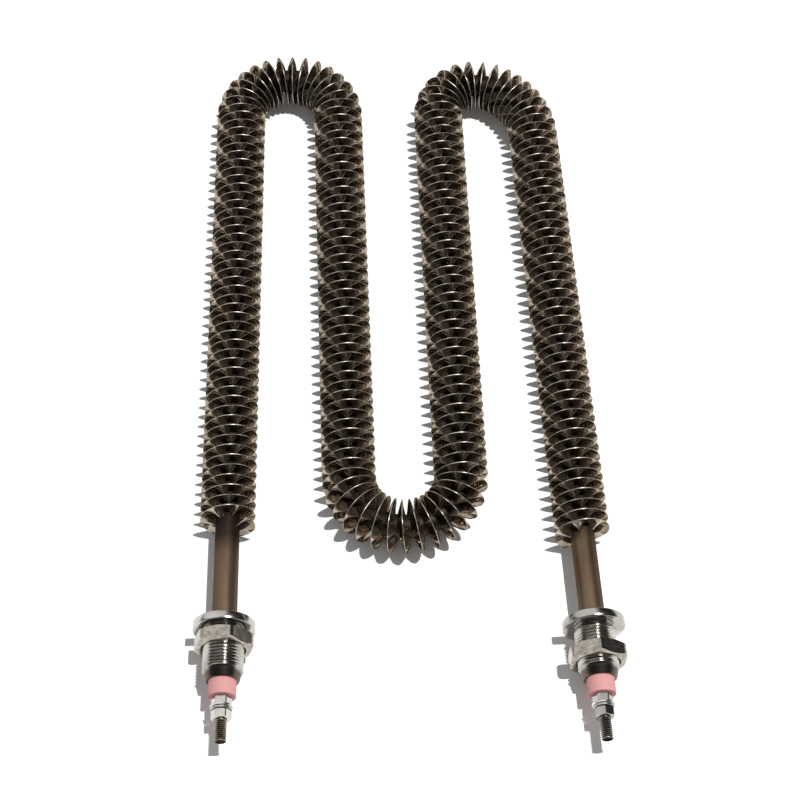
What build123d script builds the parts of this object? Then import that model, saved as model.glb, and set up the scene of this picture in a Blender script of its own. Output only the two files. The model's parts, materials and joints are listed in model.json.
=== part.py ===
"""Finned tubular air heater, bent to a W, with a flanged screw-in terminal at each end.

The heater lies flat: +Z is up, the legs run along Y with the terminals towards -Y, and the
origin is on the ground under the middle of the whole heater. All sizes are in millimetres.
"""

from build123d import *
from math import ceil, cos, pi, radians, sin, sqrt
import os

# Sheath and its filling
tube_diameter = 11.0
tube_wall = 1.0
coil_across_flats = 3.0
pin_diameter = 3.4

# Centre line, from the left flange face to the right one
left_outer_leg = 296.4
left_inner_leg = 221.4
right_inner_leg = 218.8
right_outer_leg = 284.4
left_bend_radius = 25.2
middle_bend_radius = 25.7
right_bend_radius = 19.9
right_sweep_radius = 38.1
left_leg_lean = 1.0
left_bend_turn = 178.8
middle_bend_turn = 179.8
right_bend_turn = 121.9
right_sweep_turn = 57.0

# Crimped fin strip, wound on edge around the sheath
fin_diameter = 25.0
fin_pitch = 5.3
pleats_per_turn = 19 / 6
pleat_depth = 3.2
strip_root_thickness = 0.8
strip_clearance = 0.15
strip_start_turn = 45.0
left_bare_length = 46.5
right_bare_length = 40.5

# Flanged bush, brazed on the sheath
flange_diameter = 27.5
flange_thickness = 3.7
flange_edge_chamfer = 0.3
thread_diameter = 18.0
thread_end = 20.2
relief_diameter = 16.4
relief_width = 1.1
seat_recess_diameter = 18.6
seat_recess_depth = 0.3
bush_reach = 24.0
nose_tip_diameter = 14.6
bead_socket_depth = 2.0
bead_clearance = 0.15

# Lock nut on the bush
lock_nut_across_flats = 24.0
lock_nut_height = 7.0
lock_nut_chamfer_angle = 30.0
thread_clearance = 0.1
left_lock_nut_gap = 2.1
right_lock_nut_gap = 9.7
left_lock_nut_turn = 14.0
right_lock_nut_turn = 22.0

# Terminal
seal_length = 4.0
bead_diameter = 12.3
bead_length = 7.3
bead_edge_fillet = 0.5
stud_diameter = 5.0
stud_core_diameter = 4.5
stud_clearance = 0.15
stud_free_length = 10.3
stud_runout = 0.3
stud_tip_chamfer = 0.9
stud_nut_across_flats = 8.0
stud_nut_height = 4.0
left_outer_nut_turn = 0.0
right_outer_nut_turn = 30.0
inner_nut_turn = 0.0
washer_diameter = 10.0
washer_thickness = 1.0
spring_washer_diameter = 9.2
spring_washer_thickness = 1.3
spring_washer_split = 0.9

# Worked out from the sizes above
tube_radius = tube_diameter / 2
bore_radius = tube_radius - tube_wall
fin_radius = fin_diameter / 2
axis_height = flange_diameter / 2
sheath_reach = bush_reach - bead_socket_depth
filling_reach = sheath_reach - seal_length
bead_face = bush_reach + bead_length
inner_nut_face = bead_face + stud_nut_height
washer_face = inner_nut_face + washer_thickness
spring_washer_face = washer_face + spring_washer_thickness
outer_nut_face = spring_washer_face + stud_nut_height
stud_reach = outer_nut_face + stud_free_length
left_cold_length = flange_thickness + left_bare_length
right_cold_length = flange_thickness + right_bare_length


def lay_centre_line(start, left_overrun, right_overrun):
    """Lay the W-shaped centre line through the left flange face at start.

    Each end runs past its flange face by its overrun, or stops short where that is negative. The
    right bend is tight on the inner leg's side and sweeps out wider into the outer leg.
    """
    heading = Vector(sin(radians(left_leg_lean)), cos(radians(left_leg_lean)))
    with BuildLine(Plane.XY) as line:
        first_leg = Line(start - heading * left_overrun, start + heading * left_outer_leg)
        left_bend = JernArc(first_leg @ 1, first_leg % 1, left_bend_radius, -left_bend_turn)
        second_leg = Line(left_bend @ 1, left_bend @ 1 + (left_bend % 1) * left_inner_leg)
        middle_bend = JernArc(second_leg @ 1, second_leg % 1, middle_bend_radius, middle_bend_turn)
        third_leg = Line(middle_bend @ 1, middle_bend @ 1 + (middle_bend % 1) * right_inner_leg)
        right_bend = JernArc(third_leg @ 1, third_leg % 1, right_bend_radius, -right_bend_turn)
        right_sweep = JernArc(right_bend @ 1, right_bend % 1, right_sweep_radius, -right_sweep_turn)
        last_length = right_outer_leg + right_overrun
        Line(right_sweep @ 1, right_sweep @ 1 + (right_sweep % 1) * last_length)
    return line.wire()


# The heater is centred over the origin: its flanges sideways, its tallest bend and longest stud
# lengthways.
trial_flanges = lay_centre_line(Vector(0, 0, 0), 0, 0)
trial_tips = lay_centre_line(Vector(0, 0, 0), stud_reach, stud_reach).bounding_box()
left_face_centre = Vector(
    -((trial_flanges @ 0).X + (trial_flanges @ 1).X) / 2,
    -(trial_tips.min.Y + trial_tips.max.Y + fin_radius) / 2,
    axis_height,
)
flange_line = lay_centre_line(left_face_centre, 0, 0)


def sweep_plane(path):
    """Plane across the start of a path, for the section that is swept along it."""
    return Plane(origin=path @ 0, x_dir=Vector(0, 0, 1), z_dir=path % 0)


# Sheath: one seamless tube from the bottom of one bush's bead socket to the other's
sheath_line = lay_centre_line(left_face_centre, sheath_reach, sheath_reach)
with BuildPart() as sheath_tube:
    with BuildSketch(sweep_plane(sheath_line)):
        Circle(tube_radius)
        Circle(bore_radius, mode=Mode.SUBTRACT)
    sweep(path=sheath_line)

# Resistance coil: the envelope of the wound wire, with six flats to keep the model light
coil_line = lay_centre_line(left_face_centre, -left_cold_length, -right_cold_length)
with BuildPart() as resistance_coil:
    with BuildSketch(sweep_plane(coil_line)):
        RegularPolygon(coil_across_flats / 2, 6, major_radius=False)
    sweep(path=coil_line)


# Magnesia filling: pressed solid around the coil and the cold ends of the two studs
filling_line = lay_centre_line(left_face_centre, filling_reach, filling_reach)
with BuildPart() as magnesia_filling:
    with BuildSketch(sweep_plane(filling_line)):
        Circle(bore_radius)
    sweep(path=filling_line)
    with BuildSketch(sweep_plane(coil_line)):
        RegularPolygon(coil_across_flats / 2, 6, major_radius=False)
    sweep(path=coil_line, mode=Mode.SUBTRACT)
    with BuildSketch(sweep_plane(filling_line)):
        Circle(pin_diameter / 2)
    extrude(amount=filling_reach + left_cold_length, mode=Mode.SUBTRACT)
    with BuildSketch(Plane(origin=filling_line @ 1, z_dir=-(filling_line % 1))):
        Circle(pin_diameter / 2)
    extrude(amount=filling_reach + right_cold_length, mode=Mode.SUBTRACT)


def strip_point(path, distance, turn_angle, radius):
    """Point at a radius from the path, at a distance along it and an angle from straight up."""
    centre = path.position_at(distance, position_mode=PositionMode.LENGTH)
    along = path.tangent_at(distance, position_mode=PositionMode.LENGTH)
    up = Vector(0, 0, 1)
    sideways = along.cross(up)
    return centre + up * (radius * cos(turn_angle)) + sideways * (radius * sin(turn_angle))


def facet_between(first, second, third):
    """One flat three-cornered face."""
    return Face(Wire.make_polygon([first, second, third]))


# Fin strip: its rim runs smoothly along a helix, and its root is crimped into pleats that lean
# to one side and the other in turn. Fold lines run from rim to root, with flat facets between.
folds_per_turn = 2 * pleats_per_turn
fold_spacing = fin_pitch / folds_per_turn
fold_angle = 2 * pi / folds_per_turn
strip_root_radius = (tube_radius + strip_clearance) / cos(fold_angle / 2)
first_fold = left_cold_length + pleat_depth / 2
finned_length = flange_line.length - first_fold - right_cold_length - pleat_depth / 2
fold_count = int(finned_length / fold_spacing)

rim_edge = []
front_root_edge = []
back_root_edge = []
for fold in range(fold_count + 1):
    place = first_fold + fold * fold_spacing
    angle = radians(strip_start_turn) + fold * fold_angle
    lean = pleat_depth / 2 if fold % 2 else -pleat_depth / 2
    front = place + lean - strip_root_thickness / 2
    back = place + lean + strip_root_thickness / 2
    rim_edge.append(strip_point(flange_line, place, angle, fin_radius))
    front_root_edge.append(strip_point(flange_line, front, angle, strip_root_radius))
    back_root_edge.append(strip_point(flange_line, back, angle, strip_root_radius))

strip_facets = [
    facet_between(rim_edge[0], front_root_edge[0], back_root_edge[0]),
    facet_between(rim_edge[-1], back_root_edge[-1], front_root_edge[-1]),
]
strip_sides = ((rim_edge, front_root_edge), (front_root_edge, back_root_edge), (back_root_edge, rim_edge))
for edge, next_edge in strip_sides:
    for fold in range(fold_count):
        strip_facets.append(facet_between(edge[fold], edge[fold + 1], next_edge[fold]))
        strip_facets.append(facet_between(edge[fold + 1], next_edge[fold + 1], next_edge[fold]))

with BuildPart() as fin_strip:
    add(Solid(Shell(strip_facets)))


def across_corners(across_flats):
    """Corner to corner size of a hexagon, from its size across flats."""
    return across_flats * 2 / sqrt(3)


def make_hex_nut(seat, across_flats, height, bore_diameter, turn, chamfer_angle):
    """Hexagon nut that starts at a seat plane, with both faces chamfered round the corners."""
    corner_radius = across_corners(across_flats) / 2
    flat_radius = across_flats / 2
    corner_drop = (corner_radius - flat_radius) * sin(radians(chamfer_angle)) / cos(radians(chamfer_angle))
    section = Plane(origin=seat.origin, x_dir=seat.x_dir, z_dir=seat.x_dir.cross(seat.z_dir))
    with BuildPart() as nut:
        with BuildSketch(seat):
            RegularPolygon(corner_radius, 6, rotation=turn)
            Circle(bore_diameter / 2, mode=Mode.SUBTRACT)
        extrude(amount=height)
        with BuildSketch(section):
            Polygon(
                (0, 0),
                (flat_radius, 0),
                (corner_radius, corner_drop),
                (corner_radius, height - corner_drop),
                (flat_radius, height),
                (0, height),
                align=None,
            )
        revolve(axis=Axis(seat.origin, seat.z_dir), mode=Mode.INTERSECT)
    return nut


def make_turned(seat, profile):
    """Turned piece from its half section: pairs of radius and distance from the seat plane."""
    section = Plane(origin=seat.origin, x_dir=seat.x_dir, z_dir=seat.x_dir.cross(seat.z_dir))
    with BuildPart() as turned:
        with BuildSketch(section):
            Polygon(*profile, align=None)
        revolve(axis=Axis(seat.origin, seat.z_dir))
    return turned


def make_terminal(side, face_centre, outward, cold_length, lock_nut_gap, lock_nut_turn, outer_nut_turn):
    """Pieces of one terminal, by name, with distances from its flange face along outward."""
    seat = Plane(origin=face_centre, x_dir=Vector(0, 0, 1).cross(outward), z_dir=outward)
    socket_radius = bead_diameter / 2 + bead_clearance
    thread_radius = thread_diameter / 2
    nose_root = thread_radius - (thread_diameter - relief_diameter) / 2
    stud_radius = stud_diameter / 2
    core_radius = stud_core_diameter / 2
    stud_hole_radius = stud_radius + stud_clearance
    nut_bore = stud_core_diameter + 2 * stud_clearance

    bush = make_turned(
        seat,
        (
            (tube_radius, -flange_thickness),
            (flange_diameter / 2 - flange_edge_chamfer, -flange_thickness),
            (flange_diameter / 2, flange_edge_chamfer - flange_thickness),
            (flange_diameter / 2, -flange_edge_chamfer),
            (flange_diameter / 2 - flange_edge_chamfer, 0),
            (seat_recess_diameter / 2, 0),
            (seat_recess_diameter / 2, -seat_recess_depth),
            (relief_diameter / 2, -seat_recess_depth),
            (relief_diameter / 2, relief_width),
            (thread_radius, relief_width + (thread_diameter - relief_diameter) / 2),
            (thread_radius, thread_end - (thread_diameter - relief_diameter) / 2),
            (nose_root, thread_end),
            (nose_tip_diameter / 2, bush_reach),
            (socket_radius, bush_reach),
            (socket_radius, sheath_reach),
            (tube_radius, sheath_reach),
        ),
    )
    lock_nut = make_hex_nut(
        seat.offset(lock_nut_gap),
        lock_nut_across_flats,
        lock_nut_height,
        thread_diameter + 2 * thread_clearance,
        lock_nut_turn,
        lock_nut_chamfer_angle,
    )
    with BuildPart() as moisture_seal:
        with BuildSketch(seat.offset(filling_reach)):
            Circle(bore_radius)
            Circle(core_radius, mode=Mode.SUBTRACT)
        extrude(amount=seal_length)
    with BuildPart() as ceramic_bead:
        with BuildSketch(seat.offset(sheath_reach)):
            Circle(bead_diameter / 2)
            Circle(stud_hole_radius, mode=Mode.SUBTRACT)
        extrude(amount=bead_face - sheath_reach)
        outer_rim = ceramic_bead.edges().filter_by(GeomType.CIRCLE).sort_by(Axis(seat.origin, outward))[-2:]
        fillet(outer_rim.sort_by(SortBy.LENGTH)[-1], bead_edge_fillet)
    terminal_stud = make_turned(
        seat,
        (
            (0, -cold_length),
            (pin_diameter / 2, -cold_length),
            (pin_diameter / 2, filling_reach),
            (core_radius, filling_reach),
            (core_radius, outer_nut_face + stud_runout),
            (stud_radius, outer_nut_face + stud_runout),
            (stud_radius, stud_reach - stud_tip_chamfer),
            (stud_radius - stud_tip_chamfer, stud_reach),
            (0, stud_reach),
        ),
    )
    inner_nut = make_hex_nut(
        seat.offset(bead_face),
        stud_nut_across_flats,
        stud_nut_height,
        nut_bore,
        inner_nut_turn,
        lock_nut_chamfer_angle,
    )
    with BuildPart() as plain_washer:
        with BuildSketch(seat.offset(inner_nut_face)):
            Circle(washer_diameter / 2)
            Circle(stud_hole_radius, mode=Mode.SUBTRACT)
        extrude(amount=washer_thickness)
    with BuildPart() as spring_washer:
        with BuildSketch(seat.offset(washer_face)):
            Circle(spring_washer_diameter / 2)
            Circle(stud_hole_radius, mode=Mode.SUBTRACT)
            with Locations((spring_washer_diameter / 2, 0)):
                Rectangle(spring_washer_diameter, spring_washer_split, mode=Mode.SUBTRACT)
        extrude(amount=spring_washer_thickness)
    outer_nut = make_hex_nut(
        seat.offset(spring_washer_face),
        stud_nut_across_flats,
        stud_nut_height,
        nut_bore,
        outer_nut_turn,
        lock_nut_chamfer_angle,
    )
    return {
        f"{side}_flanged_bush": bush,
        f"{side}_lock_nut": lock_nut,
        f"{side}_moisture_seal": moisture_seal,
        f"{side}_ceramic_bead": ceramic_bead,
        f"{side}_terminal_stud": terminal_stud,
        f"{side}_inner_nut": inner_nut,
        f"{side}_plain_washer": plain_washer,
        f"{side}_spring_washer": spring_washer,
        f"{side}_outer_nut": outer_nut,
    }


pieces = {
    "sheath_tube": sheath_tube,
    "resistance_coil": resistance_coil,
    "magnesia_filling": magnesia_filling,
    "fin_strip": fin_strip,
}
pieces |= make_terminal(
    "left",
    flange_line @ 0,
    -(flange_line % 0),
    left_cold_length,
    left_lock_nut_gap,
    left_lock_nut_turn,
    left_outer_nut_turn,
)
pieces |= make_terminal(
    "right",
    flange_line @ 1,
    flange_line % 1,
    right_cold_length,
    right_lock_nut_gap,
    right_lock_nut_turn,
    right_outer_nut_turn,
)

os.makedirs("parts", exist_ok=True)
for name, piece in pieces.items():
    piece.part.label = name
    export_step(piece.part, f"parts/{name}.step")
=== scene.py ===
"""Looks of the finned tubular air heater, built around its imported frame.

All sizes are in metres, in the frame's own axes: the heater lies flat on the floor, its four
legs run along Y, and both terminals point towards -Y.
"""

import json
import logging
import math
from dataclasses import dataclass, field, fields
from enum import Enum

import bmesh
import bpy
from mathutils import Matrix, Vector


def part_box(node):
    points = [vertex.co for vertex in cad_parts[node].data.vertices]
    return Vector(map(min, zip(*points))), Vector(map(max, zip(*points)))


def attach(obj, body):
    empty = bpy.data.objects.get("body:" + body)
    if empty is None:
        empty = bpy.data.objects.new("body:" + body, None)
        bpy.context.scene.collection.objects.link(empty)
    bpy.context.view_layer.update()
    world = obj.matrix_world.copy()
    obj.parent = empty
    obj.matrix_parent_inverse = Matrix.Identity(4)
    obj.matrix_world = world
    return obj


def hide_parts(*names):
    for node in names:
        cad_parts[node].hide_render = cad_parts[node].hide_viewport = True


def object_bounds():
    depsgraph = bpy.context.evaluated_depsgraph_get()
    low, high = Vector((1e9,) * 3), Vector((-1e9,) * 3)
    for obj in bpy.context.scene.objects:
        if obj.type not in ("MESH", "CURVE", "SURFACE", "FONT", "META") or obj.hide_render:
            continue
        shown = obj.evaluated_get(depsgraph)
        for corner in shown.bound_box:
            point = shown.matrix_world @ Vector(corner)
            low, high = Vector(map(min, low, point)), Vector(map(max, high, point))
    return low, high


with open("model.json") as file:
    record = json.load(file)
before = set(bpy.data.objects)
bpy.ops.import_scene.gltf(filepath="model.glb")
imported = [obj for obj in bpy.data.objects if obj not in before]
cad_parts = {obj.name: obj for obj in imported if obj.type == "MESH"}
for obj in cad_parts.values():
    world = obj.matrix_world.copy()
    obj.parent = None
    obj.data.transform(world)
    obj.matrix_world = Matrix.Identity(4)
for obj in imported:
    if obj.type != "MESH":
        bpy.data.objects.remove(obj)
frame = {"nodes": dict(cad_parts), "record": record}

MM = 0.001
ROOT_BODY = "root"
CAD_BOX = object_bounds()
UP = Vector((0, 0, 1))
WELD_DISTANCE = 0.002 * MM
SHARP_ANGLE = math.radians(38.0)
GRAIN_HEIGHT = 0.1 * MM

log = logging.getLogger("heater")

Mesh = bpy.types.Mesh
Material = bpy.types.Material
GeometryTree = bpy.types.GeometryNodeTree
Socket = bpy.types.NodeSocket
Number = float | Socket
Inputs = dict[str | int, object]
Triple = tuple[float, float, float]
Colour = Triple
Span = tuple[float, float]
Profile = list[tuple[float, float]]
Finishes = dict[str, Material]

BLACK: Colour = (0.0, 0.0, 0.0)
WHITE: Colour = (1.0, 1.0, 1.0)
EVEN: Triple = (1.0, 1.0, 1.0)

# The Mix node has several sockets of the same name, so those for colours go by their place.
MIX_FIRST, MIX_SECOND, MIX_RESULT = 6, 7, 2


# --- Node trees ---


class NodeSheet:
    """Adds and links the nodes of one tree, so that a formula reads from left to right."""

    def __init__(self, tree: bpy.types.NodeTree) -> None:
        """Work on a tree."""
        self.tree = tree

    def declare(self, kind: str, *names: str, output: bool = False) -> None:
        """Give the tree named sockets.

        Args:
            kind: Their type after "NodeSocket", such as "Float".
            names: Their names.
            output: True for outputs of the tree.
        """
        way = "OUTPUT" if output else "INPUT"
        for name in names:
            self.tree.interface.new_socket(name, in_out=way, socket_type=f"NodeSocket{kind}")

    def add(self, kind: str, inputs: Inputs | None = None, **settings: object) -> bpy.types.Node:
        """Add a node.

        Args:
            kind: The node's Blender type.
            inputs: Values or sockets for its inputs, by name or by place.
            settings: Values for its own properties.

        Returns:
            The new node.
        """
        node = self.tree.nodes.new(kind)
        for name, value in settings.items():
            setattr(node, name, value)
        self.feed(node, inputs or {})
        return node

    def feed(self, node: bpy.types.Node, inputs: Inputs) -> None:
        """Link a node's inputs to other nodes, or set their values.

        Args:
            node: The node.
            inputs: Values or sockets for its inputs, by name or by place.
        """
        for key, value in inputs.items():
            if isinstance(value, Socket):
                self.tree.links.new(value, node.inputs[key])
            else:
                node.inputs[key].default_value = value

    def math(self, operation: str, *terms: Number) -> Socket:
        """Put numbers or sockets through a Math node and return its result."""
        return self.add("ShaderNodeMath", dict(enumerate(terms)), operation=operation).outputs[0]

    def vector(self, operation: str, *terms: object) -> Socket:
        """Put vectors through a Vector Math node and return its vector result."""
        return self.add("ShaderNodeVectorMath", dict(enumerate(terms)), operation=operation).outputs[0]

    def scaled(self, direction: object, length: Number) -> Socket:
        """Multiply a vector by a number."""
        inputs = {"Vector": direction, "Scale": length}
        return self.add("ShaderNodeVectorMath", inputs, operation="SCALE").outputs["Vector"]

    def between(self, value: Number, low: Number, high: Number) -> Socket:
        """Hold a number between two others."""
        return self.math("MINIMUM", self.math("MAXIMUM", value, low), high)

    def spread(self, share: Number, start: Number, end: Number) -> Socket:
        """Number that lies at a share of the way from start to end."""
        return self.math("MULTIPLY_ADD", share, self.math("SUBTRACT", end, start), start)

    def ranged(self, value: Socket, span: Span, start: float, end: float) -> Socket:
        """Number that goes from start to end while a value crosses a span."""
        inputs = {"Value": value, "From Min": span[0], "From Max": span[1], "To Min": start, "To Max": end}
        return self.add("ShaderNodeMapRange", inputs).outputs["Result"]

    def noise(self, place: Socket, scale: Number, detail: float = 2.0) -> Socket:
        """Soft noise over a place."""
        inputs = {"Vector": place, "Scale": scale, "Detail": detail}
        return self.add("ShaderNodeTexNoise", inputs).outputs["Fac"]

    def attribute(self, name: str) -> Socket:
        """Number that a mesh holds for each point."""
        return self.add("ShaderNodeAttribute", attribute_name=name).outputs["Fac"]

    def ramp(self, factor: Socket, stops: list[tuple[float, Colour]]) -> Socket:
        """Colour ramp through the given stops.

        Args:
            factor: What picks the place on the ramp.
            stops: Place and colour of each stop, in order.

        Returns:
            The colour.
        """
        node = self.add("ShaderNodeValToRGB", {"Fac": factor})
        elements = node.color_ramp.elements
        while len(elements) < len(stops):
            elements.new(1.0)
        for element, (place, colour) in zip(elements, stops):
            element.position = place
            element.color = (*colour, 1.0)
        return node.outputs["Color"]

    def mixed(self, factor: Number, first: object, second: object) -> Socket:
        """Mix two colours."""
        inputs = {"Factor": factor, MIX_FIRST: first, MIX_SECOND: second}
        return self.add("ShaderNodeMix", inputs, data_type="RGBA").outputs[MIX_RESULT]

    def grid(self, columns: Socket, rows: Socket) -> tuple[Socket, Socket, Socket]:
        """Add a flat grid of points, 1 m square, for formulas to set in place.

        Args:
            columns: Number of points along it.
            rows: Number of points across it.

        Returns:
            Its mesh, and each point's share of the way along it and across it.
        """
        mesh = self.add("GeometryNodeMeshGrid", {"Vertices X": columns, "Vertices Y": rows})
        position = self.add("GeometryNodeInputPosition").outputs["Position"]
        place = self.add("ShaderNodeSeparateXYZ", {"Vector": position}).outputs
        return mesh.outputs["Mesh"], self.math("ADD", place["X"], 0.5), self.math("ADD", place["Y"], 0.5)

    def deliver(self, name: str, geometry: Socket, finish: Socket) -> None:
        """Realize a geometry, give it its finish and put it out.

        Args:
            name: The output's name.
            geometry: The geometry.
            finish: Its material.
        """
        whole = self.add("GeometryNodeRealizeInstances", {"Geometry": geometry}).outputs["Geometry"]
        done = self.add("GeometryNodeSetMaterial", {"Geometry": whole, "Material": finish})
        self.add("NodeGroupOutput", {name: done.outputs["Geometry"]})


def new_object(name: str, data: bpy.types.ID) -> bpy.types.Object:
    """Put a new object in the scene.

    Args:
        name: The object's name.
        data: Its mesh, camera or light.

    Returns:
        The object.
    """
    made = bpy.data.objects.new(name, data)
    bpy.context.scene.collection.objects.link(made)
    return made


def field_values(part: object) -> dict[str, object]:
    """Values of a dataclass's fields, by the names of tree inputs, such as "Root radius"."""
    return {entry.name.replace("_", " ").capitalize(): getattr(part, entry.name) for entry in fields(part)}


def shape_with(tree: GeometryTree, mesh: Mesh, values: dict[str, object], solidify: float = 0.0) -> Mesh:
    """Run a Geometry Nodes tree on a mesh and keep the result as a plain mesh.

    Args:
        tree: The tree.
        mesh: What the tree starts from.
        values: Values for all the tree's other inputs, by name.
        solidify: Thickness that the result gets, half on each side, or 0 for none.

    Returns:
        The finished mesh.
    """
    carrier = new_object("carrier", mesh)
    nodes = carrier.modifiers.new("shape", "NODES")
    nodes.node_group = tree
    for socket in tree.interface.items_tree:
        if socket.in_out == "INPUT" and socket.socket_type != "NodeSocketGeometry":
            nodes[socket.identifier] = values[socket.name]
    if solidify:
        wall = carrier.modifiers.new("wall", "SOLIDIFY")
        wall.thickness = solidify
        wall.offset = 0.0
    depsgraph = bpy.context.evaluated_depsgraph_get()
    result = bpy.data.meshes.new_from_object(carrier.evaluated_get(depsgraph), depsgraph=depsgraph)
    carrier.modifiers.clear()
    bpy.data.objects.remove(carrier)
    return result


# --- Finishes ---


def build_grain_group() -> bpy.types.ShaderNodeTree:
    """Node group for the fine grain of worked metal.

    Returns:
        A group that takes a coordinate vector, a stretch along each axis, a scale and a depth,
        and puts out a mask and a normal.
    """
    tree = bpy.data.node_groups.new("Metal grain", "ShaderNodeTree")
    sheet = NodeSheet(tree)
    sheet.declare("Vector", "Vector", "Stretch")
    sheet.declare("Float", "Scale", "Depth")
    sheet.declare("Float", "Mask", output=True)
    sheet.declare("Vector", "Normal", output=True)
    given = sheet.add("NodeGroupInput").outputs
    stretched = sheet.vector("MULTIPLY", given["Vector"], given["Stretch"])
    mask = sheet.noise(stretched, given["Scale"], detail=4.0)
    inputs = {"Strength": given["Depth"], "Distance": GRAIN_HEIGHT, "Height": mask}
    bump = sheet.add("ShaderNodeBump", inputs)
    sheet.add("NodeGroupOutput", {"Mask": mask, "Normal": bump.outputs["Normal"]})
    return tree


GRAIN = build_grain_group()


def new_material(name: str) -> tuple[Material, NodeSheet, bpy.types.Node]:
    """Start a material on one Principled BSDF.

    Args:
        name: The material's name.

    Returns:
        The material, a sheet on its node tree, and the shader node.
    """
    material = bpy.data.materials.new(name)
    material.use_nodes = True
    return material, NodeSheet(material.node_tree), material.node_tree.nodes["Principled BSDF"]


class Measure(Enum):
    """What the darker colour of oxide and painted shade is measured by: the frame's Y, or an attribute of a
    terminal's meshes.
    """

    FRAME_Y = "Y"
    ALONG = "along"
    FROM_AXIS = "from_axis"


@dataclass(frozen=True)
class Metal:
    """Metal surface whose colour and gloss vary softly over it.

    The grain is finer along the axes where the stretch is larger. A darker colour with a roughness of its
    own
    sets in between two values of a measure: real oxide on the bush, and painted shade on the sheath and in
    thread valleys.
    """

    name: str
    light: Colour
    dark: Colour
    gloss: float = 0.25
    dullness: float = 0.4
    metallic: float = 1.0
    grazing: Colour = WHITE
    patch_scale: float = 60.0
    patch_stretch: Triple = EVEN
    patch_span: Span = (0.35, 0.65)
    grain_scale: float = 900.0
    grain_depth: float = 0.25
    grain_stretch: Triple = EVEN
    crust: Colour | None = None
    crust_measure: Measure = Measure.ALONG
    crust_span: Span = (0.0, 1.0)
    crust_wander: float = 2.0 * MM
    crust_roughness: float = 0.6

    def material(self) -> Material:
        """Build the material.

        Returns:
            The material.
        """
        material, sheet, shader = new_material(self.name)
        place = sheet.add("ShaderNodeTexCoord").outputs["Object"]
        stretched = sheet.vector("MULTIPLY", place, self.patch_stretch)
        patches = sheet.noise(stretched, self.patch_scale, detail=3.0)
        inputs = {"Stretch": self.grain_stretch, "Scale": self.grain_scale, "Depth": self.grain_depth}
        grain = sheet.add("ShaderNodeGroup", inputs | {"Vector": place}, node_tree=GRAIN).outputs
        colour = sheet.ramp(patches, list(zip(self.patch_span, (self.dark, self.light))))
        rough = sheet.spread(grain["Mask"], self.gloss, self.dullness)
        # The darker colour sets in along its measure: real oxide on the bush, painted shade on the sheath
        # and studs.
        if self.crust:
            start, end = self.crust_span
            if self.crust_measure is Measure.FRAME_Y:
                along = sheet.add("ShaderNodeSeparateXYZ", {"Vector": place}).outputs["Y"]
            else:
                along = sheet.attribute(self.crust_measure.value)
            wander = min(self.crust_wander, abs(end - start))
            ragged = sheet.math("MULTIPLY_ADD", sheet.math("SUBTRACT", patches, 0.5), wander, along)
            share = sheet.math("DIVIDE", sheet.math("SUBTRACT", ragged, start), end - start)
            share = sheet.between(share, 0.0, 1.0)
            colour = sheet.mixed(share, colour, (*self.crust, 1.0))
            rough = sheet.spread(share, rough, self.crust_roughness)
        sheet.feed(shader, {
            "Base Color": colour,
            "Roughness": rough,
            "Normal": grain["Normal"],
            "Metallic": self.metallic,
            "Specular Tint": (*self.grazing, 1.0),
        })
        return material


@dataclass(frozen=True)
class Mineral:
    """Matt surface with a fine speckle: unglazed ceramic, pressed powder or silicone."""

    name: str
    dark: Colour
    light: Colour
    roughness: float = 0.75
    speckle_scale: float = 2500.0
    speckle_span: Span = (0.35, 0.6)
    grain_scale: float = 1800.0
    grain_depth: float = 0.35

    def material(self) -> Material:
        """Build the material.

        Returns:
            The material.
        """
        material, sheet, shader = new_material(self.name)
        place = sheet.add("ShaderNodeTexCoord").outputs["Object"]
        speckle = sheet.noise(place, self.speckle_scale)
        inputs = {"Vector": place, "Stretch": EVEN, "Scale": self.grain_scale, "Depth": self.grain_depth}
        grain = sheet.add("ShaderNodeGroup", inputs, node_tree=GRAIN).outputs
        sheet.feed(shader, {
            "Base Color": sheet.ramp(speckle, list(zip(self.speckle_span, (self.dark, self.light)))),
            "Roughness": self.roughness,
            "Normal": grain["Normal"],
        })
        return material


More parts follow.
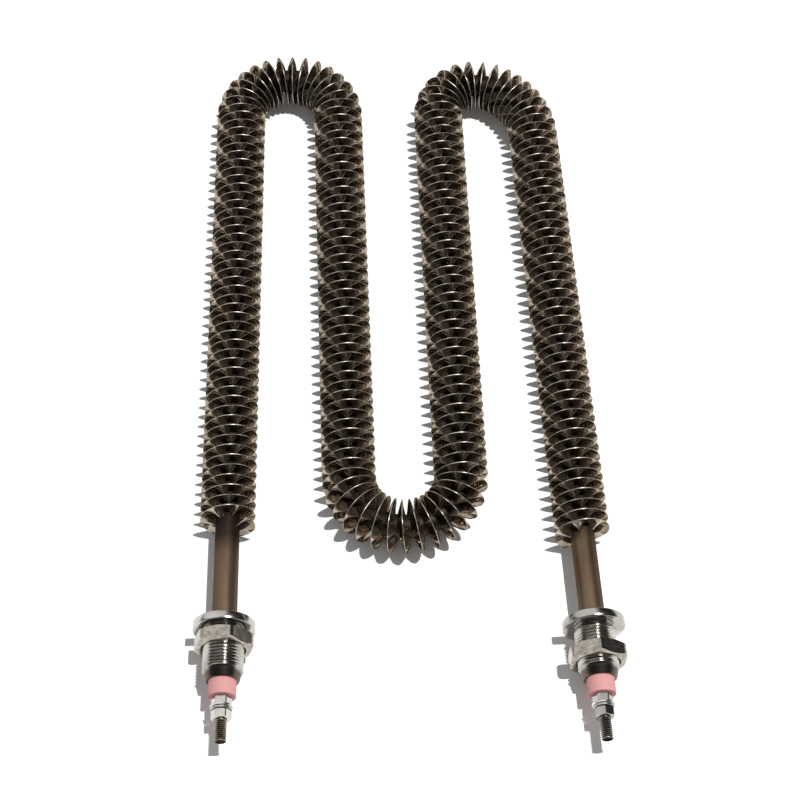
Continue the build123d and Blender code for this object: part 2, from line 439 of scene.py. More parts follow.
@dataclass(frozen=True)
class FinFinish:
    """Polished strip: darker towards its root, partly heat tint and partly painted shade between the
    pleats, and lighter along its rim and its folds in painted highlights.
    """

    name: str = "fins_heat_darkened"
    # Darker, browner colour towards the root below: heat tint, and painted shade deep between the pleats.
    root: Colour = (0.25, 0.19, 0.14)
    face_dark: Colour = (0.27, 0.215, 0.16)
    face_light: Colour = (0.44, 0.38, 0.31)
    # Lighter colour along the rim below: a painted highlight for the lamp's glint on the strip's edge.
    rim: Colour = (0.54, 0.49, 0.43)
    # Lighter colour on the pleats' creases below: a painted highlight.
    fold: Colour = (0.72, 0.64, 0.55)
    fold_share: float = 0.85
    fold_start: float = 0.9
    fold_end: float = 0.98
    rim_highlight_start: float = 0.965
    root_end: float = 0.55
    grazing: Colour = (0.20, 0.165, 0.13)
    metallic: float = 0.88
    gloss: float = 0.06
    dullness: float = 0.20
    worn_dullness: float = 0.46
    patch_scale: float = 150.0
    patch_span: Span = (0.42, 0.64)
    grain_scale: float = 300.0
    grain_depth: float = 0.06

    def material(self) -> Material:
        """Build the material.

        Returns:
            The material.
        """
        material, sheet, shader = new_material(self.name)
        place = sheet.add("ShaderNodeTexCoord").outputs["Object"]
        reach = sheet.attribute("strip_reach")
        patches = sheet.noise(place, self.patch_scale)
        face = sheet.ramp(patches, list(zip(self.patch_span, (self.face_dark, self.face_light))))
        # Towards the root the face turns to that colour: heat tint, and painted shade where the pleats
        # crowd round the sheath.
        outward = sheet.ramp(reach, [(0.0, BLACK), (self.root_end, WHITE)])
        face = sheet.mixed(outward, (*self.root, 1.0), face)
        # Painted highlight: the pleats' crests and troughs, where the wave peaks, turn lighter.
        folded = sheet.attribute("strip_fold")
        fold_highlight_mask = sheet.ramp(folded, [(self.fold_start, BLACK), (self.fold_end, (self.fold_share,) * 3)])
        face = sheet.mixed(fold_highlight_mask, face, (*self.fold, 1.0))
        # Painted highlight: the last sliver towards the rim turns to the lighter rim colour.
        edge = sheet.ramp(reach, [(self.rim_highlight_start, BLACK), (1.0, WHITE)])
        rough = sheet.spread(patches, self.gloss, self.dullness)
        inputs = {"Vector": place, "Stretch": EVEN, "Scale": self.grain_scale, "Depth": self.grain_depth}
        grain = sheet.add("ShaderNodeGroup", inputs, node_tree=GRAIN).outputs
        sheet.feed(shader, {
            "Base Color": sheet.mixed(edge, face, (*self.rim, 1.0)),
            "Roughness": sheet.spread(sheet.math("MAXIMUM", edge, fold_highlight_mask), rough, self.worn_dullness),
            "Normal": grain["Normal"],
            "Metallic": self.metallic,
            "Specular Tint": (*self.grazing, 1.0),
        })
        return material


# --- Centre line ---


@dataclass(frozen=True)
class CentreLine:
    """Middle line of the sheath, laid flat as a W, from one flange face to the other."""

    left_outer_leg: float = 296.4 * MM
    left_inner_leg: float = 221.4 * MM
    right_inner_leg: float = 218.8 * MM
    right_outer_leg: float = 284.4 * MM
    left_bend_radius: float = 25.2 * MM
    middle_bend_radius: float = 25.7 * MM
    right_bend_radius: float = 19.9 * MM
    right_sweep_radius: float = 38.1 * MM
    left_bend_turn: float = math.radians(178.8)
    middle_bend_turn: float = math.radians(179.8)
    right_bend_turn: float = math.radians(121.9)
    right_sweep_turn: float = math.radians(57.0)
    bend_step: float = math.radians(2.0)

    @property
    def bends(self) -> list[Triple]:
        """Lay out the bends in order.

        Returns:
            The leg before each bend, and the bend's radius and turn, which is positive to the left.
        """
        return [
            (self.left_outer_leg, self.left_bend_radius, -self.left_bend_turn),
            (self.left_inner_leg, self.middle_bend_radius, self.middle_bend_turn),
            (self.right_inner_leg, self.right_bend_radius, -self.right_bend_turn),
            (0.0, self.right_sweep_radius, -self.right_sweep_turn),
        ]

    @property
    def length(self) -> float:
        """Whole length between the flange faces."""
        return sum(leg + radius * abs(turn) for leg, radius, turn in self.bends) + self.right_outer_leg

    def mesh(self) -> Mesh:
        """Lay the line as a chain of edges.

        Returns:
            A mesh that holds only the line.
        """
        left_face = mount("left_flange_face")
        height = sum(corner.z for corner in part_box("left_flanged_bush")) / 2
        points = [Vector((left_face.place.x, left_face.place.y, height))]
        heading = -left_face.axis
        for leg, radius, turn in self.bends:
            if leg:
                points.append(points[-1] + heading * leg)
            steps = round(abs(turn) / self.bend_step)
            centre = points[-1] + UP.cross(heading) * math.copysign(radius, turn)
            spoke = points[-1] - centre
            for step in range(1, steps + 1):
                points.append(centre + Matrix.Rotation(turn * step / steps, 3, "Z") @ spoke)
            heading = Matrix.Rotation(turn, 3, "Z") @ heading
        points.append(points[-1] + heading * self.right_outer_leg)
        mesh = bpy.data.meshes.new("centre_line")
        edges = [(place, place + 1) for place in range(len(points) - 1)]
        mesh.from_pydata(points, edges, [])
        return mesh


@dataclass(frozen=True)
class Mount:
    """Place and outward axis of one of the frame's mounts."""

    place: Vector
    axis: Vector


def mount(name: str) -> Mount:
    """Find one of the frame's mounts.

    Args:
        name: The mount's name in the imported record.

    Returns:
        Its place and axis.
    """
    row = next(row for row in frame["record"]["mounts"] if row["name"] == name)
    return Mount(Vector(row["pos_m"]), Vector(row["axis"]).normalized())


# --- Fin strip ---


def build_strip_tree() -> GeometryTree:
    """Geometry Nodes tree for a strip wound on edge round a line, with its root crimped.

    Returns:
        The tree. Its input geometry is the line, as a chain of edges.
    """
    tree = bpy.data.node_groups.new("Crimped strip", "GeometryNodeTree")
    tree.is_modifier = True
    sheet = NodeSheet(tree)
    sheet.declare("Geometry", "Line")
    sheet.declare("Float", "Start", "Pitch", "First turn", "Last turn", "Start angle", "Root radius")
    sheet.declare("Float", "Rim radius", "Pleats per turn", "Pleat depth", "Pleat sharpness", "Pleat fade")
    sheet.declare("Float", "Wander", "Far limit")
    sheet.declare("Int", "Steps", "Rows", "Seed")
    sheet.declare("Material", "Finish")
    sheet.declare("Geometry", "Strip", output=True)
    given = sheet.add("NodeGroupInput").outputs

    # Turns run along the grid, and reach runs across it, from root to rim.
    marked, turn_share, reach = sheet.grid(given["Steps"], given["Rows"])
    turns = sheet.spread(turn_share, given["First turn"], given["Last turn"])
    angle = sheet.math("MULTIPLY_ADD", turns, math.tau, given["Start angle"])
    radius = sheet.spread(reach, given["Root radius"], given["Rim radius"])

    # The pleats are a wave between a sine and a zigzag, which fades out towards the rim.
    phase = sheet.math("MULTIPLY", sheet.math("MULTIPLY", turns, given["Pleats per turn"]), math.tau)
    swing = sheet.math("MULTIPLY", sheet.math("COSINE", phase), given["Pleat sharpness"])
    peak = sheet.math("ARCSINE", given["Pleat sharpness"])
    wave = sheet.math("DIVIDE", sheet.math("ARCSINE", swing), peak)
    fade = sheet.math("POWER", sheet.math("SUBTRACT", 1.0, reach), given["Pleat fade"])
    half_depth = sheet.math("MULTIPLY", given["Pleat depth"], -0.5)
    lean = sheet.math("MULTIPLY", sheet.math("MULTIPLY", wave, fade), half_depth)

    # The rim strays a little from an even pitch, once or twice a turn.
    wander_rate = 1.7
    seeded = sheet.math("ADD", sheet.math("MULTIPLY", turns, wander_rate), given["Seed"])
    inputs = {"W": seeded, "Scale": 1.0, "Detail": 2.0}
    noise = sheet.add("ShaderNodeTexNoise", inputs, noise_dimensions="1D").outputs["Fac"]
    wander = sheet.math("MULTIPLY", sheet.math("SUBTRACT", noise, 0.5), given["Wander"])
    distance = sheet.math("MULTIPLY_ADD", turns, given["Pitch"], given["Start"])
    distance = sheet.math("ADD", sheet.math("ADD", distance, lean), sheet.math("MULTIPLY", wander, reach))

    # Each point stands off the line by its radius and angle, and never past the far limit.
    curve = sheet.add("GeometryNodeMeshToCurve", {"Mesh": given["Line"]}).outputs["Curve"]
    inputs = {"Curves": curve, "Length": distance}
    sample = sheet.add("GeometryNodeSampleCurve", inputs, mode="LENGTH").outputs
    sideways = sheet.vector("CROSS_PRODUCT", sample["Tangent"], tuple(UP))
    rise = sheet.scaled(tuple(UP), sheet.math("MULTIPLY", radius, sheet.math("COSINE", angle)))
    shift = sheet.scaled(sideways, sheet.math("MULTIPLY", radius, sheet.math("SINE", angle)))
    spot = sheet.vector("ADD", sample["Position"], sheet.vector("ADD", rise, shift))
    limit = sheet.add("ShaderNodeCombineXYZ", {"X": 1.0, "Y": given["Far limit"], "Z": 1.0})
    spot = sheet.vector("MINIMUM", spot, limit.outputs["Vector"])

    for name, value in (("strip_reach", reach), ("strip_fold", sheet.math("ABSOLUTE", wave))):
        inputs = {"Geometry": marked, "Name": name, "Value": value}
        store = sheet.add("GeometryNodeStoreNamedAttribute", inputs, data_type="FLOAT", domain="POINT")
        marked = store.outputs["Geometry"]
    bent = sheet.add("GeometryNodeSetPosition", {"Geometry": marked, "Position": spot}).outputs["Geometry"]
    sheet.deliver("Strip", bent, given["Finish"])
    return tree


@dataclass(frozen=True)
class FinStrip:
    """Steel strip wound on edge round the sheath, its root crimped into pleats."""

    line: CentreLine
    rim_radius: float = 12.5 * MM
    root_radius: float = 5.65 * MM
    thickness: float = 0.3 * MM
    pitch: float = 5.3 * MM
    pleats_per_turn: float = 19 / 3
    pleat_depth: float = 4.0 * MM
    pleat_sharpness: float = 0.92
    pleat_fade: float = 0.7
    wander: float = 0.3 * MM
    start_angle: float = math.radians(45.0)
    left_cold_length: float = 50.2 * MM
    right_cold_length: float = 44.2 * MM
    steps_per_turn: int = 96
    rows: int = 9
    stretches: int = 5
    seed: int = 7

    def build(self, finish: FinFinish) -> None:
        """Wind the strip in stretches of whole turns, up to its end.

        Args:
            finish: The strip's surface.
        """
        tree = build_strip_tree()
        material = finish.material()
        start = self.left_cold_length + self.pleat_depth / 2
        turns = (self.line.length - start - self.right_cold_length - self.pleat_depth / 2) / self.pitch
        for stretch in range(self.stretches):
            first = round(turns * stretch / self.stretches)
            last = turns if stretch == self.stretches - 1 else round(turns * (stretch + 1) / self.stretches)
            values = field_values(self) | {
                "Start": start,
                "First turn": float(first),
                "Last turn": float(last),
                "Far limit": CAD_BOX[1][1] - self.thickness / 2,
                "Steps": round((last - first) * self.steps_per_turn) + 1,
                "Finish": material,
            }
            mesh = shape_with(tree, self.line.mesh(), values, solidify=self.thickness)
            place_piece(f"fin_strip_{stretch + 1}", mesh, ["fin_strip"])


def place_piece(name: str, mesh: Mesh, replaced: list[str]) -> None:
    """Show a finished mesh as a piece of the heater.

    Args:
        name: The piece's name.
        mesh: Its mesh, in place.
        replaced: The CAD nodes that it stands for.
    """
    mesh.name = name
    mesh.shade_smooth()
    mesh.set_sharp_from_angle(angle=SHARP_ANGLE)
    piece = new_object(name, mesh)
    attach(piece, ROOT_BODY)
    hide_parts(*replaced)
    mesh.calc_loop_triangles()
    log.info("%s: %d triangles", name, len(mesh.loop_triangles))


# --- Terminals ---


class Side(Enum):
    """The heater's two ends, named as they are in the frame."""

    LEFT = "left"
    RIGHT = "right"


def seat_matrix(side: Side) -> Matrix:
    """Axes of one terminal: origin in its flange face, Y up, Z outward along the bush.

    Args:
        side: Which terminal.

    Returns:
        The matrix from terminal axes to the frame's.
    """
    face = mount(f"{side.value}_flange_face")
    height = sum(corner.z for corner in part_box(f"{side.value}_flanged_bush")) / 2
    axes = Matrix((UP.cross(face.axis), UP, face.axis)).transposed().to_4x4()
    return Matrix.Translation((face.place.x, face.place.y, height)) @ axes


def build_thread_tree() -> GeometryTree:
    """Geometry Nodes tree for an open tube with a right-handed screw thread, up the Z axis.

    Returns:
        The tree. Its rows follow the helix and are cut off flat at both ends.
    """
    tree = bpy.data.node_groups.new("Screw thread", "GeometryNodeTree")
    tree.is_modifier = True
    sheet = NodeSheet(tree)
    sheet.declare("Geometry", "Carrier")
    sheet.declare("Float", "Start", "End", "Pitch", "Crest radius", "Depth", "Runout")
    sheet.declare("Int", "Segments", "Rows", "Rows per turn")
    sheet.declare("Material", "Finish")
    sheet.declare("Geometry", "Thread", output=True)
    given = sheet.add("NodeGroupInput").outputs

    # The grid's columns go once round, and its rows climb with the helix.
    columns, rows = (sheet.math("ADD", given[name], 1.0) for name in ("Segments", "Rows"))
    grid, round_share, row_share = sheet.grid(columns, rows)
    turns = sheet.math("DIVIDE", sheet.math("MULTIPLY", row_share, given["Rows"]), given["Rows per turn"])
    climb = sheet.math("ADD", turns, sheet.math("SUBTRACT", round_share, 1.0))
    lift = sheet.math("MULTIPLY", climb, given["Pitch"])
    height = sheet.between(sheet.math("ADD", lift, given["Start"]), given["Start"], given["End"])

    # Crests and roots are cut flat, and the thread runs out to full radius at both ends.
    flat = 0.15
    from_start = sheet.math("DIVIDE", sheet.math("SUBTRACT", height, given["Start"]), given["Runout"])
    to_end = sheet.math("DIVIDE", sheet.math("SUBTRACT", given["End"], height), given["Runout"])
    cut = sheet.between(sheet.math("MINIMUM", from_start, to_end), 0.0, 1.0)
    flank = sheet.math("PINGPONG", sheet.math("MULTIPLY", turns, 2.0), 1.0)
    valley = sheet.between(sheet.math("MULTIPLY_ADD", flank, 1.0 + 2 * flat, -flat), 0.0, 1.0)
    drop = sheet.math("MULTIPLY", sheet.math("MULTIPLY", valley, cut), given["Depth"])
    radius = sheet.math("SUBTRACT", given["Crest radius"], drop)
    angle = sheet.math("MULTIPLY", round_share, math.tau)
    inputs = {
        "X": sheet.math("MULTIPLY", radius, sheet.math("COSINE", angle)),
        "Y": sheet.math("MULTIPLY", radius, sheet.math("SINE", angle)),
        "Z": height,
    }
    spot = sheet.add("ShaderNodeCombineXYZ", inputs).outputs["Vector"]
    bent = sheet.add("GeometryNodeSetPosition", {"Geometry": grid, "Position": spot}).outputs["Geometry"]
    welded = sheet.add("GeometryNodeMergeByDistance", {"Geometry": bent, "Distance": WELD_DISTANCE})
    sheet.deliver("Thread", welded.outputs["Geometry"], given["Finish"])
    return tree


THREAD_TREE = build_thread_tree()


@dataclass(frozen=True)
class Thread:
    """Screw thread between two distances along a terminal."""

    start: float
    end: float
    crest_radius: float
    pitch: float
    depth: float
    runout: float
    segments: int
    rows_per_turn: int = 10

    def mesh(self, material: Material) -> Mesh:
        """Cut the thread as an open tube in terminal axes.

        Args:
            material: The thread's surface.

        Returns:
            The tube.
        """
        rows = math.ceil((self.end - self.start) / self.pitch + 1) * self.rows_per_turn
        values = field_values(self) | {"Rows": rows, "Finish": material}
        return shape_with(THREAD_TREE, bpy.data.meshes.new("carrier"), values)


class Shape:
    """Closed mesh of one terminal piece, built up in terminal axes."""

    def __init__(self) -> None:
        """Start with nothing."""
        self.body = bmesh.new()

    def point(self, radius: float, angle: float, height: float) -> bmesh.types.BMVert:
        """Add a point at a radius, angle and height."""
        return self.body.verts.new((radius * math.cos(angle), radius * math.sin(angle), height))

    def skin(self, rows: list[list[bmesh.types.BMVert]]) -> None:
        """Add the faces between rows of points.

        Args:
            rows: The rows in order, each closed on itself, with as many points as the others.
        """
        for row, next_row in zip(rows, rows[1:]):
            for here in range(len(row)):
                ahead = (here + 1) % len(row)
                self.body.faces.new((row[here], row[ahead], next_row[ahead], next_row[here]))

    def loft(self, rings: list[Profile]) -> None:
        """Add the skin through rings round Z.

        Args:
            rings: The rings in order, each with the radius and height of its points.
        """
        rows = []
        for ring in rings:
            step = math.tau / len(ring)
            rows.append([self.point(corner[0], step * turn, corner[1]) for turn, corner in enumerate(ring)])
        self.skin(rows)

    def turn(self, profile: Profile, segments: int) -> None:
        """Add a surface of revolution round Z.

        Args:
            profile: Radius and height of each ring, in order.
            segments: Steps round the axis.
        """
        self.loft([[corner] * segments for corner in profile])

    def take(self, mesh: Mesh) -> None:
        """Add a finished mesh, and remove it from the file."""
        self.body.from_mesh(mesh)
        bpy.data.meshes.remove(mesh)

    def close(self, seat: Matrix) -> Mesh:
        """Weld the shape, note where its points are, and move it to its seat.

        Args:
            seat: The matrix from terminal axes to the frame's.

        Returns:
            The mesh, with each point's from_axis and along in metres.
        """
        bmesh.ops.remove_doubles(self.body, verts=self.body.verts, dist=WELD_DISTANCE)
        bmesh.ops.recalc_face_normals(self.body, faces=self.body.faces)
        from_axis = self.body.verts.layers.float.new(Measure.FROM_AXIS.value)
        along = self.body.verts.layers.float.new(Measure.ALONG.value)
        for vertex in self.body.verts:
            vertex[from_axis] = math.hypot(vertex.co.x, vertex.co.y)
            vertex[along] = vertex.co.z
        self.body.transform(seat)
        mesh = bpy.data.meshes.new("piece")
        self.body.to_mesh(mesh)
        self.body.free()
        return mesh


@dataclass(frozen=True)
class HexNut:
    """Hexagon nut, chamfered on both faces, its corners a little rounded."""

    across_flats: float
    height: float
    bore_radius: float
    turn: float = 0.0
    chamfer: float = math.radians(30.0)
    face_share: float = 0.96
    bore_chamfer: float = 0.3 * MM
    corner_rounding: float = 0.975
    steps_per_flat: int = 16

    def mesh(self, start: float, seat: Matrix) -> Mesh:
        """Shape the nut.

        Args:
            start: Distance of its inner face along the terminal.
            seat: The matrix from terminal axes to the frame's.

        Returns:
            The mesh.
        """
        flat = self.across_flats / 2
        corner = flat / math.cos(math.pi / 6) * self.corner_rounding
        face = flat * self.face_share
        end = start + self.height
        steps = 6 * self.steps_per_flat
        sides = []
        for step in range(steps):
            angle = (math.tau * step / steps - self.turn + math.pi / 6) % (math.pi / 3) - math.pi / 6
            radius = min(flat / math.cos(angle - math.copysign(math.pi / 6, angle)), corner)
            sides.append((radius, (radius - face) * math.tan(self.chamfer)))
        bore, lip = self.bore_radius, self.bore_chamfer
        half = [[(bore, lip)] * steps, [(bore + lip, 0.0)] * steps, [(face, 0.0)] * steps, sides]
        lower = [[(radius, start + drop) for radius, drop in ring] for ring in half]
        upper = [[(radius, end - drop) for radius, drop in ring] for ring in reversed(half)]
        shape = Shape()
        shape.loft(lower + upper + lower[:1])
        return shape.close(seat)


@dataclass
class Terminal:
    """One screw-in terminal: bush, lock nut, stud, and the small nuts and washers on it."""

    side: Side
    lock_nut_gap: float
    lock_nut_turn: float
    outer_nut_turn: float
    cold_length: float
    tube_radius: float = 5.5 * MM
    flange_radius: float = 13.75 * MM
    flange_thickness: float = 3.7 * MM
    flange_rounding: float = 0.1 * MM
    thread_radius: float = 9.0 * MM
    thread_end: float = 20.2 * MM
    relief_radius: float = 8.2 * MM
    relief_width: float = 1.1 * MM
    recess_radius: float = 9.3 * MM
    recess_depth: float = 0.3 * MM
    bush_reach: float = 24.0 * MM
    nose_radius: float = 7.45 * MM
    nose_chamfer: float = 0.4 * MM
    socket_radius: float = 6.3 * MM
    sheath_reach: float = 22.0 * MM
    pin_radius: float = 1.7 * MM
    core_radius: float = 2.25 * MM
    stud_radius: float = 2.5 * MM
    stud_reach: float = 51.9 * MM
    stud_neck: float = 0.1 * MM
    stud_tip: float = 0.7 * MM
    stud_tip_steps: int = 6
    filling_reach: float = 18.0 * MM
    inner_nut_start: float = 31.3 * MM
    small_nut_height: float = 4.0 * MM
    washer_bore: float = 2.65 * MM
    washer_edge: float = 0.15 * MM
    washer_thickness: float = 1.0 * MM
    spring_thickness: float = 1.3 * MM
    edge: float = 0.3 * MM
    segments: int = 96
    stud_segments: int = 48

    def __post_init__(self) -> None:
        """Work out where each piece sits."""
        self.seat = seat_matrix(self.side)
        self.washer_start = self.inner_nut_start + self.small_nut_height
        self.spring_start = self.washer_start + self.washer_thickness
        self.outer_nut_start = self.spring_start + self.spring_thickness
        self.thread_start = self.outer_nut_start + self.small_nut_height + self.edge

    def put(self, part: str, mesh: Mesh, material: Material) -> None:
        """Place one piece instead of the solid of the same name.

        Args:
            part: The solid's name without its side.
            mesh: Its mesh, in place.
            material: Its surface.
        """
        name = f"{self.side.value}_{part}"
        mesh.materials.append(material)
        place_piece(f"{name}_look", mesh, [name])

    def build_bush(self, material: Material) -> None:
        """Turn the flanged bush and cut its thread.

        Args:
            material: The bush's surface.
        """
        step = self.thread_radius - self.relief_radius
        thread = Thread(self.relief_width + step, self.thread_end - step, self.thread_radius,
                        pitch=1.5 * MM, depth=0.85 * MM, runout=0.8 * MM, segments=self.segments)
        tube, flange, back = self.tube_radius, self.flange_radius, -self.flange_thickness
        edge, rounding = self.edge, self.flange_rounding
        braze_height, braze_width, braze_hollow = 1.2 * MM, 1.0 * MM, 0.2 * MM
        shape = Shape()
        shape.take(thread.mesh(material))
        shape.turn(
            [
                (self.thread_radius, thread.end),
                (self.relief_radius, self.thread_end),
                (self.nose_radius, self.bush_reach - self.nose_chamfer),
                (self.nose_radius - self.nose_chamfer, self.bush_reach),
                (self.socket_radius, self.bush_reach), (self.socket_radius, self.sheath_reach),
                (tube, self.sheath_reach), (tube, back - braze_height),
                (tube + braze_hollow, back - braze_height / 2), (tube + braze_width, back),
                (flange - edge, back), (flange - rounding, back + rounding), (flange, back + edge),
                (flange, -edge), (flange - rounding, -rounding), (flange - edge, 0.0),
                (self.recess_radius, 0.0), (self.recess_radius, -self.recess_depth),
                (self.relief_radius, -self.recess_depth), (self.relief_radius, self.relief_width),
                (self.thread_radius, thread.start),
            ],
            self.segments,
        )
        self.put("flanged_bush", shape.close(self.seat), material)

    def build_stud(self, material: Material) -> None:
        """Turn the stud with its cold pin, and cut the thread of its free end.

        Args:
            material: The stud's surface.
        """
        thread = Thread(self.thread_start, self.stud_reach - self.stud_tip, self.stud_radius,
                        pitch=0.9 * MM, depth=0.6 * MM, runout=0.3 * MM, segments=self.stud_segments)
        shape = Shape()
        shape.take(thread.mesh(material))
        shape.turn(
            [
                (0.0, -self.flange_thickness - self.cold_length),
                (self.pin_radius, -self.flange_thickness - self.cold_length),
                (self.pin_radius, self.filling_reach),
                (self.core_radius, self.filling_reach),
                (self.core_radius, thread.start - self.stud_neck),
                (self.stud_radius, thread.start),
            ],
            self.stud_segments,
        )
        dome = []
        for step in range(self.stud_tip_steps + 1):
            swing = math.pi / 2 * step / self.stud_tip_steps
            dome.append((self.stud_radius * math.cos(swing), thread.end + self.stud_tip * math.sin(swing)))
        shape.turn(dome, self.stud_segments)
        self.put("terminal_stud", shape.close(self.seat), material)

    def washer_mesh(self) -> Mesh:
        """Stamp the plain washer.

        Returns:
            The mesh.
        """
        rim, start, end = 5.0 * MM, self.washer_start, self.spring_start
        bore, edge = self.washer_bore, self.washer_edge
        outside = [(rim - edge, start), (rim, start + edge), (rim, end - edge), (rim - edge, end)]
        shape = Shape()
        shape.turn([(bore, start), *outside, (bore, end), (bore, start)], segments=64)
        return shape.close(self.seat)

    def spring_mesh(self) -> Mesh:
        """Wind the spring washer: a square section that climbs a little round its split ring.

        Returns:
            The mesh.
        """
        rim, section, steps = 4.6 * MM, 1.05 * MM, 60
        bore, edge = self.washer_bore, self.washer_edge
        climb = self.spring_thickness - section
        gap = 0.9 * MM / rim
        outside = [(rim - edge, 0.0), (rim, edge), (rim, section - edge), (rim - edge, section)]
        corners = [(bore, 0.0), *outside, (bore, section)]
        shape = Shape()
        rows = []
        for step in range(steps + 1):
            share = step / steps
            angle = gap / 2 + share * (math.tau - gap)
            lift = self.spring_start + climb * share
            rows.append([shape.point(radius, angle, lift + height) for radius, height in corners])
        shape.skin(rows)
        shape.body.faces.new(rows[0])
        shape.body.faces.new(reversed(rows[-1]))
        return shape.close(self.seat)

    def build(self, finishes: Finishes) -> None:
        """Build the terminal's pieces from the panel outward.

        Args:
            finishes: Materials by name, as build_finishes returns them.
        """
        self.build_bush(finishes["bush"])
        lock_nut = HexNut(across_flats=24.0 * MM, height=7.0 * MM, bore_radius=9.1 * MM,
                          turn=self.lock_nut_turn, bore_chamfer=0.8 * MM)
        self.put("lock_nut", lock_nut.mesh(self.lock_nut_gap, self.seat), finishes["lock_nut"])
        self.build_stud(finishes[f"{self.side.value}_stud"])
        for part, start, turn in (("inner_nut", self.inner_nut_start, 0.0),
                                  ("outer_nut", self.outer_nut_start, self.outer_nut_turn)):
            nut = HexNut(across_flats=8.0 * MM, height=self.small_nut_height, bore_radius=2.4 * MM,
                         turn=turn)
            self.put(part, nut.mesh(start, self.seat), finishes[f"{self.side.value}_nut"])
        self.put("plain_washer", self.washer_mesh(), finishes["washer"])
        self.put("spring_washer", self.spring_mesh(), finishes["spring_washer"])


# --- Studio ---


@dataclass(frozen=True)
class Studio:
    """Pale floor, one high lamp, a pale sky, and the camera."""

    camera_target: Vector = field(default_factory=lambda: Vector((0.54, -20.78, 13.75)) * MM)
    camera_distance: float = 895.3 * MM
    camera_elevation: float = math.radians(57.016)
    camera_yaw: float = math.radians(1.283)
    camera_roll: float = math.radians(-1.008)
    camera_lens: float = 85.49
    camera_sensor: float = 36.0
    lamp_place: Triple = (0.72, -0.16, 2.64)
    lamp_power: float = 232.0
    lamp_radius: float = 0.03
    sky_fill: float = 0.24
    ceiling: float = 0.03
    ceiling_span: Span = (0.0, 0.15)
    panel: float = 1.0
    panel_span: Span = (0.72, 0.84)
    panel_direction: Triple = (-0.45, 0.545, 0.707)
    floor_albedo: float = 0.85
    floor_shown: float = 1.25
    floor_size: float = 6.0
    floor_roughness: float = 0.9

    def add_camera(self) -> None:
        """Look down at the heater from in front of its terminals."""
        yaw, tilt, roll = self.camera_yaw, self.camera_elevation, self.camera_roll
        ahead = Vector((math.sin(yaw) * math.cos(tilt), math.cos(yaw) * math.cos(tilt), -math.sin(tilt)))
        level = Vector((math.cos(yaw), -math.sin(yaw), 0.0))
        upright = level.cross(ahead)
        right = level * math.cos(roll) + upright * math.sin(roll)
        top = upright * math.cos(roll) - level * math.sin(roll)
        camera = new_object("camera", bpy.data.cameras.new("camera"))
        camera.data.lens = self.camera_lens
        camera.data.sensor_width = self.camera_sensor
        camera.data.sensor_fit = "HORIZONTAL"
        place = self.camera_target - ahead * self.camera_distance
        axes = Matrix((right, top, -ahead)).transposed().to_4x4()
        camera.matrix_world = Matrix.Translation(place) @ axes
        bpy.context.scene.camera = camera

    def add_lamp(self) -> None:
        """Hang one small lamp over the heater, to its right."""
        lamp = new_object("key_lamp", bpy.data.lights.new("key_lamp", "POINT"))
        lamp.data.energy = self.lamp_power
        lamp.data.shadow_soft_size = self.lamp_radius
        lamp.location = self.lamp_place

    def add_sky(self) -> None:
        """White surroundings, mirrored with a dark ceiling and a bright panel, and a weak fill."""
        world = bpy.data.worlds.new("sky")
        world.use_nodes = True
        bpy.context.scene.world = world
        sheet = NodeSheet(world.node_tree)
        world.node_tree.nodes.clear()
        path = sheet.add("ShaderNodeLightPath").outputs
        direction = sheet.add("ShaderNodeTexCoord").outputs["Generated"]
        height = sheet.add("ShaderNodeSeparateXYZ", {"Vector": direction}).outputs["Z"]
        ceiling = sheet.ranged(height, self.ceiling_span, 1.0, self.ceiling)
        inputs = {0: direction, 1: self.panel_direction}
        aim = sheet.add("ShaderNodeVectorMath", inputs, operation="DOT_PRODUCT").outputs["Value"]
        panel = sheet.ranged(aim, self.panel_span, 0.0, self.panel)
        mirrored = sheet.math("MAXIMUM", path["Is Glossy Ray"], path["Is Transmission Ray"])
        strength = sheet.spread(mirrored, self.sky_fill, sheet.math("ADD", ceiling, panel))
        strength = sheet.spread(path["Is Camera Ray"], strength, 1.0)
        background = sheet.add("ShaderNodeBackground", {"Color": (*WHITE, 1.0), "Strength": strength})
        sheet.add("ShaderNodeOutputWorld", {"Surface": background.outputs[0]})

    def add_floor(self) -> None:
        """Lay a plain floor, paler where it is seen than where it gives light back."""
        half = self.floor_size / 2
        mesh = bpy.data.meshes.new("floor")
        corners = [(-half, -half, 0), (half, -half, 0), (half, half, 0), (-half, half, 0)]
        mesh.from_pydata(corners, [], [(0, 1, 2, 3)])
        material, sheet, shader = new_material("floor_white")
        path = sheet.add("ShaderNodeLightPath").outputs
        mirrored = sheet.math("MAXIMUM", path["Is Glossy Ray"], path["Is Transmission Ray"])
        shown = sheet.math("MAXIMUM", path["Is Camera Ray"], mirrored)
        shade = sheet.spread(shown, self.floor_albedo, self.floor_shown)
        grey = sheet.add("ShaderNodeCombineColor", {0: shade, 1: shade, 2: shade}).outputs["Color"]
        inputs = {"Base Color": grey, "Roughness": self.floor_roughness, "Specular IOR Level": 0.0}
        sheet.feed(shader, inputs)
        mesh.materials.append(material)
        floor = new_object("floor", mesh)

    def build(self) -> None:
        """Set up the camera, the light and the floor."""
        bpy.context.scene.view_settings.view_transform = "Standard"
        self.add_camera()
        self.add_lamp()
        self.add_sky()
        self.add_floor()


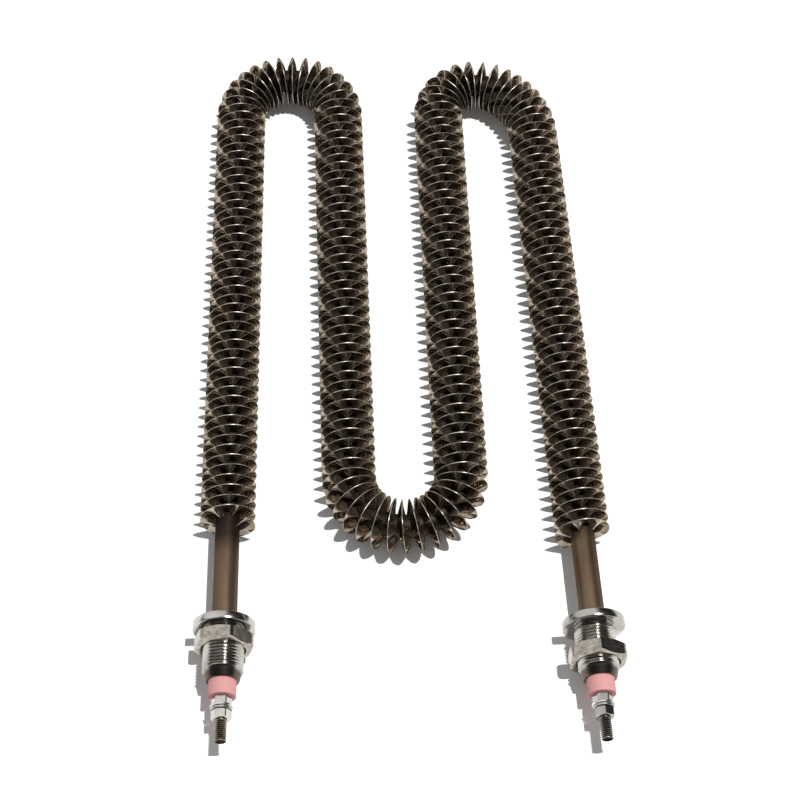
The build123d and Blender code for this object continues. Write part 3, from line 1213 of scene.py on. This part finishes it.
def build_finishes() -> Finishes:
    """Build the materials of everything but the fins.

    Returns:
        The materials by the record's slot names, with one for each side's small nuts.
    """
    nut_gloss = {"gloss": 0.14, "dullness": 0.28}
    # Painted shade: the studs' thread valleys are painted darker towards their roots.
    valley_shade = {"crust_measure": Measure.FROM_AXIS, "crust_span": (2.45 * MM, 2.1 * MM)}
    stud_look = {"gloss": 0.28, "dullness": 0.42} | valley_shade
    metals = {
        "sheath": Metal(
            "sheath_heat_tinted", (0.185, 0.130, 0.084), (0.12, 0.078, 0.053), gloss=0.32, dullness=0.48,
            metallic=0.75, grazing=(0.22, 0.18, 0.13), patch_scale=120.0, patch_stretch=(1.0, 0.2, 1.0),
            # Painted shade: from where the fins begin, the sheath is painted near black for the shade
            # between the fins.
            crust=(0.035, 0.026, 0.02), crust_measure=Measure.FRAME_Y, crust_span=(-102.0 * MM, -92.0 * MM),
            crust_roughness=0.5,
        ),
        "coil": Metal("coil_wire", (0.45, 0.43, 0.40), (0.36, 0.34, 0.31)),
        "bush": Metal(
            "bush_turned_bright", (0.57, 0.55, 0.52), (0.38, 0.36, 0.33), gloss=0.13, dullness=0.26,
            patch_scale=110.0, grain_scale=1500.0, grain_stretch=(0.1, 1.0, 0.1), crust=(0.13, 0.10, 0.085),
            crust_span=(19.4 * MM, 21.0 * MM), crust_roughness=0.32,
        ),
        "lock_nut": Metal(
            "lock_nut_brushed", (0.46, 0.42, 0.37), (0.27, 0.245, 0.21), **nut_gloss, patch_scale=500.0,
            grain_scale=1200.0, grain_depth=0.5, grain_stretch=(0.15, 1.0, 1.0),
        ),
        "left_stud": Metal(
            "left_stud_heat_tinted", (0.56, 0.48, 0.39), (0.38, 0.32, 0.25), **stud_look,
            grazing=(0.3, 0.26, 0.22), crust=(0.05, 0.04, 0.03),
        ),
        "right_stud": Metal(
            "right_stud_heat_darkened", (0.46, 0.425, 0.385), (0.29, 0.265, 0.235), **stud_look,
            grazing=(0.3, 0.28, 0.26), crust=(0.03, 0.027, 0.024),
        ),
        "left_nut": Metal("left_nuts_bright", (0.62, 0.60, 0.56), (0.44, 0.42, 0.38), **nut_gloss),
        "right_nut": Metal("right_nuts_bright", (0.48, 0.46, 0.43), (0.30, 0.28, 0.25), **nut_gloss),
        "washer": Metal("washer_bright", (0.74, 0.73, 0.71), (0.60, 0.59, 0.57), gloss=0.2, dullness=0.35),
        "spring_washer": Metal("spring_washer_steel", (0.52, 0.50, 0.47), (0.38, 0.36, 0.33)),
    }
    minerals = {
        "bead": Mineral("bead_pink_ceramic", (0.76, 0.34, 0.33), (0.83, 0.43, 0.41)),
        "magnesia": Mineral("magnesia_pressed", (0.82, 0.80, 0.76), (0.90, 0.89, 0.86)),
        "seal": Mineral("seal_silicone", (0.50, 0.17, 0.13), (0.58, 0.22, 0.18)),
    }
    return {name: surface.material() for name, surface in (metals | minerals).items()}


def dress_solids(finishes: Finishes) -> None:
    """Give their finishes to the solids that are shown as they are.

    Args:
        finishes: Materials by name, as build_finishes returns them.
    """
    kept = {"sheath_tube": "sheath", "resistance_coil": "coil", "magnesia_filling": "magnesia"}
    for side in Side:
        kept |= {f"{side.value}_ceramic_bead": "bead", f"{side.value}_moisture_seal": "seal"}
    for name, slot in kept.items():
        node = frame["nodes"][name]
        node.data.materials.clear()
        node.data.materials.append(finishes[slot])
        log.info("%s: kept, in %s", name, finishes[slot].name)


def main() -> None:
    """Build the heater's looks in order."""
    logging.basicConfig(level=logging.INFO, format="%(message)s")
    Studio().build()
    finishes = build_finishes()
    FinStrip(CentreLine()).build(FinFinish())
    for terminal in (
        Terminal(Side.LEFT, lock_nut_gap=2.1 * MM, lock_nut_turn=math.radians(12.0), outer_nut_turn=0.0,
                 cold_length=46.5 * MM),
        Terminal(Side.RIGHT, lock_nut_gap=9.7 * MM, lock_nut_turn=math.radians(28.0),
                 outer_nut_turn=math.radians(30.0), cold_length=40.5 * MM),
    ):
        terminal.build(finishes)
    dress_solids(finishes)


if __name__ == "__main__":
    main()
